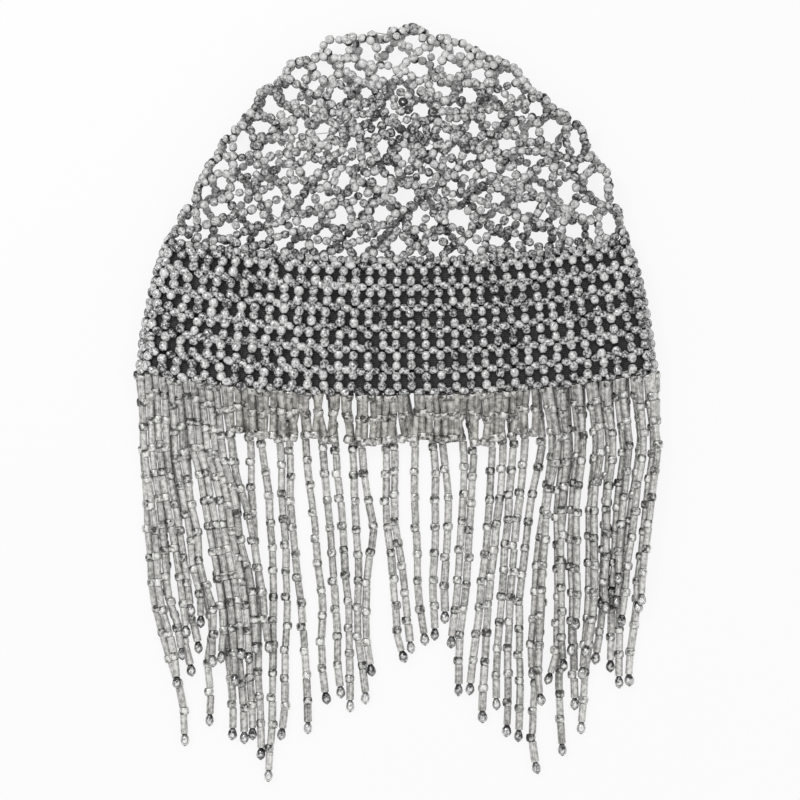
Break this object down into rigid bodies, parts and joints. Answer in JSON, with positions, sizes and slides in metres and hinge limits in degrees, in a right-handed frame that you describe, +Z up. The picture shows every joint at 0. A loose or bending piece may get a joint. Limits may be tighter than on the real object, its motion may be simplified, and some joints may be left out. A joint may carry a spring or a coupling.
{
  "type": "beaded headpiece",
  "caption": "Beaded skull cap lying flat: openwork net crown, closely beaded band over dark elastic, and a long fringe of glass bead strands.",
  "frame": {"origin": "on the surface that it lies on, under the middle of the whole piece", "axes": "+Z up off that surface, +X to the right of the picture (the wearer's left), +Y from the fringe to the crown"},
  "size_m": [0.2406, 0.35, 0.0229],
  "materials": {
    "round_bead_glass": "silver-lined, glossy",
    "dark_elastic": "ribbed, matt",
    "fringe_glass": "silver-lined, glossy"
  },
  "bodies": {
    "root": {"crown_net": "round_bead_glass", "bead_band": "round_bead_glass", "elastic_band": "dark_elastic", "front_fringe": "fringe_glass", "left_fringe": "fringe_glass", "right_fringe": "fringe_glass", "back_fringe": "fringe_glass"}
  },
  "joints": []
}
